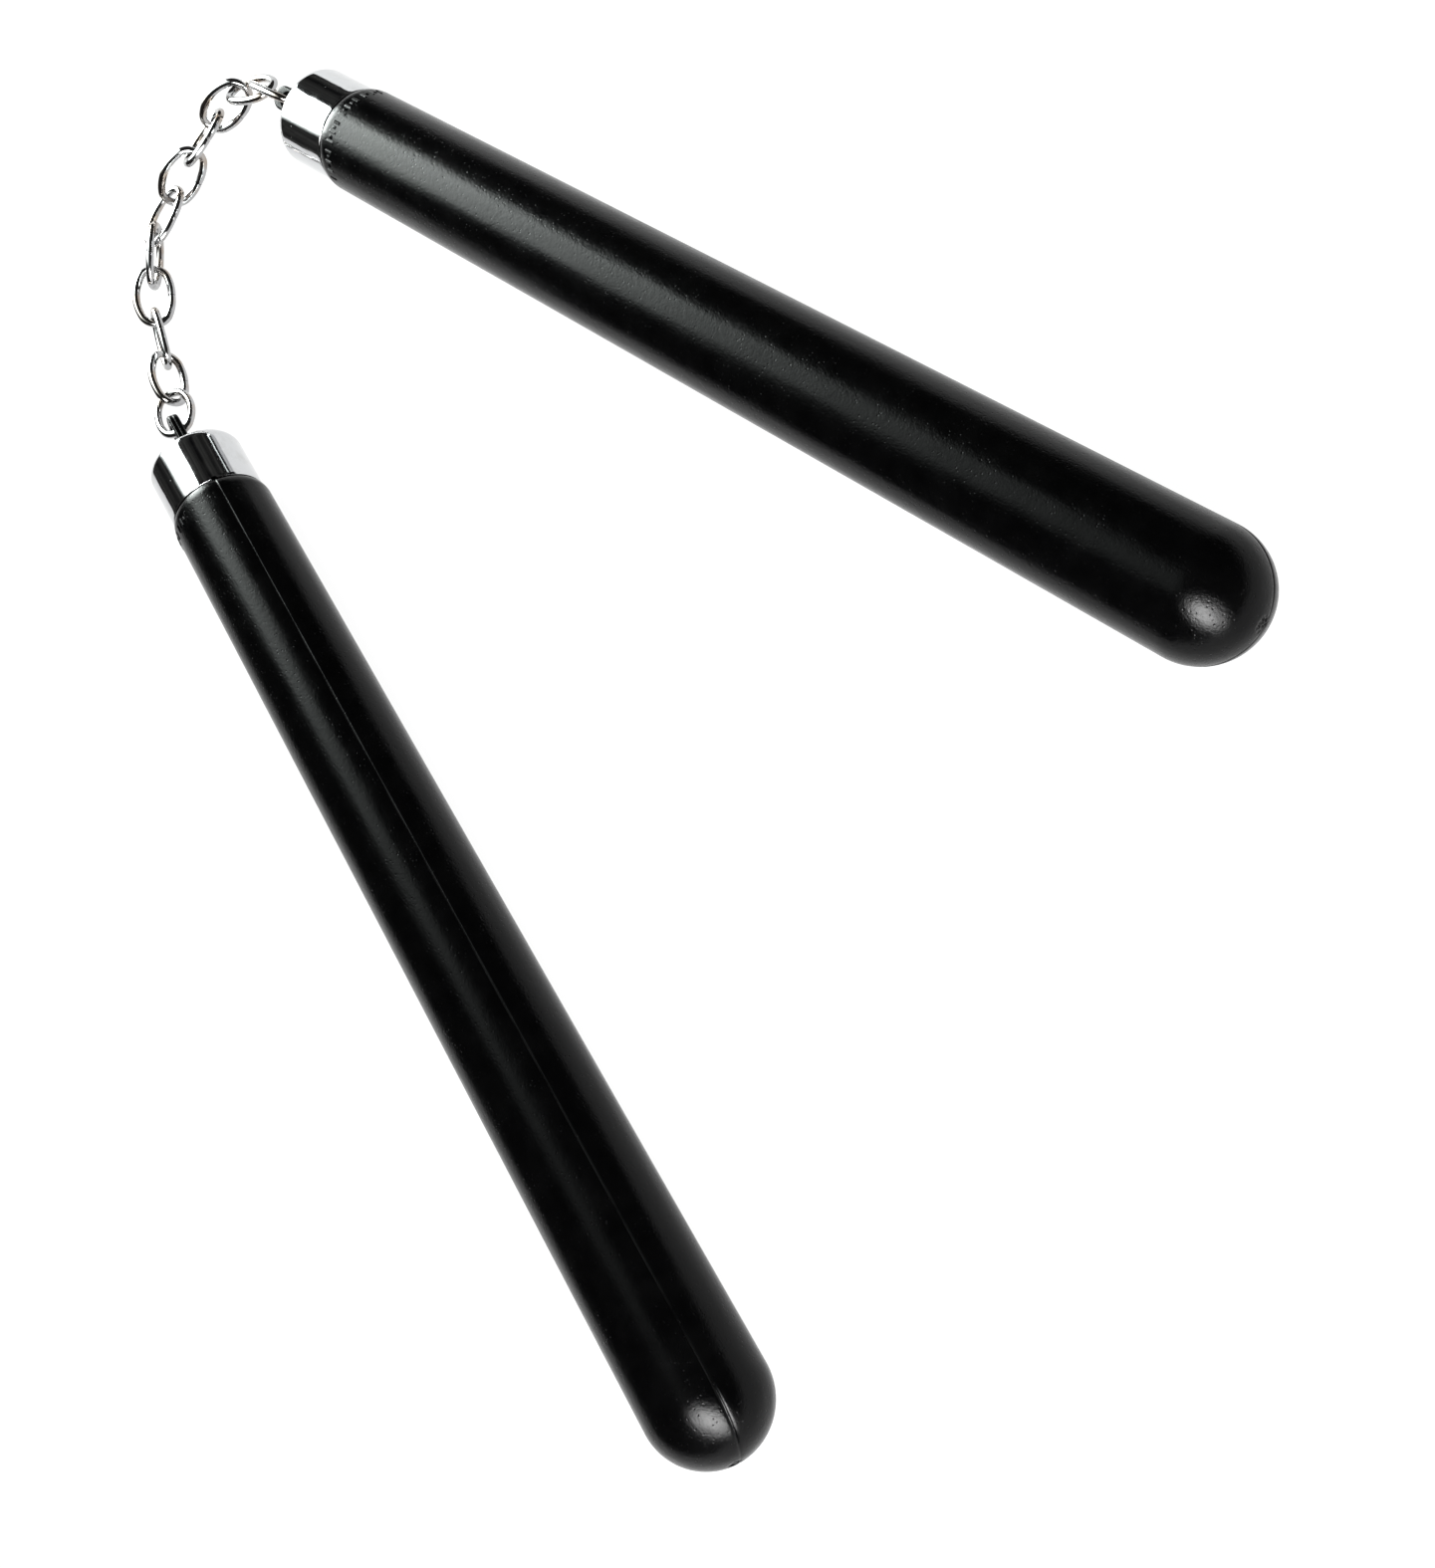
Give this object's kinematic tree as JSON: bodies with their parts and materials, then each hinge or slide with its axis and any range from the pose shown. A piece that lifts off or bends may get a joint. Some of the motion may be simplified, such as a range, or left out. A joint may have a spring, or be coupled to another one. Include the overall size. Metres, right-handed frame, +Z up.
{
  "type": "practice nunchaku",
  "caption": "Tapered black hand sticks with plated end caps, joined by a chain of oval wire links, for martial arts practice; lying flat with the chain slack.",
  "frame": {"origin": "middle of the underside of the box round the whole object, on the table it lies on", "axes": "+Z up; the object lies on its side on the table, with the sticks' round ends towards -Y and the chain towards +Y"},
  "size_m": [0.3062, 0.3468, 0.0304],
  "materials": {
    "stick_plastic": "black moulded plastic, half gloss, with small pits and a fine seam line",
    "cap_chrome": "bright plated metal with light wear",
    "link_chrome": "bright plated steel wire"
  },
  "bodies": {
    "stick_a": {"stick_a_top_shell": "stick_plastic", "stick_a_bottom_shell": "stick_plastic", "stick_a_cap": "cap_chrome"},
    "link_01": {"chain_link_01": "link_chrome"},
    "link_02": {"chain_link_02": "link_chrome"},
    "link_03": {"chain_link_03": "link_chrome"},
    "link_04": {"chain_link_04": "link_chrome"},
    "link_05": {"chain_link_05": "link_chrome"},
    "link_06": {"chain_link_06": "link_chrome"},
    "link_07": {"chain_link_07": "link_chrome"},
    "link_08": {"chain_link_08": "link_chrome"},
    "link_09": {"chain_link_09": "link_chrome"},
    "link_10": {"chain_link_10": "link_chrome"},
    "link_11": {"chain_link_11": "link_chrome"},
    "stick_b": {"stick_b_top_shell": "stick_plastic", "stick_b_bottom_shell": "stick_plastic", "stick_b_cap": "cap_chrome"}
  },
  "joints": [
    {"name": "lug_a_swing", "type": "hinge", "parent": "stick_a", "child": "link_01", "pos_m": [0.14386, 0.12167, 0.01346], "axis": [0.1306, -0.0486, -0.9903], "range_deg": [-25, 108]},
    {"name": "link_02_swing", "type": "hinge", "parent": "link_01", "child": "link_02", "pos_m": [0.1484, 0.13748, 0.01056], "axis": [0.5, 0.1504, 0.8529], "range_deg": [-90, 55]},
    {"name": "link_03_swing", "type": "hinge", "parent": "link_02", "child": "link_03", "pos_m": [0.14764, 0.14886, 0.00858], "axis": [0.7443, 0.4866, -0.4574], "range_deg": [-75, 90]},
    {"name": "link_04_swing", "type": "hinge", "parent": "link_03", "child": "link_04", "pos_m": [0.13843, 0.15759, 0.00566], "axis": [-0.2665, -0.453, -0.8508], "range_deg": [-20, 90]},
    {"name": "link_05_swing", "type": "hinge", "parent": "link_04", "child": "link_05", "pos_m": [0.1266, 0.16027, 0.008], "axis": [-0.613, -0.6945, 0.3767], "range_deg": [-90, 90]},
    {"name": "link_06_swing", "type": "hinge", "parent": "link_05", "child": "link_06", "pos_m": [0.11673, 0.16787, 0.00379], "axis": [0.1773, 0.1932, 0.965], "range_deg": [-90, 15]},
    {"name": "link_07_swing", "type": "hinge", "parent": "link_06", "child": "link_07", "pos_m": [0.10359, 0.16804, 0.00677], "axis": [0.1802, -0.8579, -0.4812], "range_deg": [-90, 85]},
    {"name": "link_08_swing", "type": "hinge", "parent": "link_07", "child": "link_08", "pos_m": [0.09198, 0.16583, 0.00459], "axis": [-0.3201, 0.56, -0.7642], "range_deg": [-90, 90]},
    {"name": "link_09_swing", "type": "hinge", "parent": "link_08", "child": "link_09", "pos_m": [0.0813, 0.16006, 0.0059], "axis": [-0.4232, 0.5818, 0.6946], "range_deg": [-90, 90]},
    {"name": "link_10_swing", "type": "hinge", "parent": "link_09", "child": "link_10", "pos_m": [0.07047, 0.15147, 0.00606], "axis": [0.6237, -0.7209, 0.3023], "range_deg": [-90, 90]},
    {"name": "link_11_swing", "type": "hinge", "parent": "link_10", "child": "link_11", "pos_m": [0.05965, 0.14332, 0.00924], "axis": [0.4701, -0.0377, 0.8818], "range_deg": [-90, 90]},
    {"name": "lug_b_swing", "type": "hinge", "parent": "link_11", "child": "stick_b", "pos_m": [0.05123, 0.13353, 0.01346], "axis": [-0.5844, 0.4953, 0.6428], "range_deg": [-100, 108]}
  ]
}
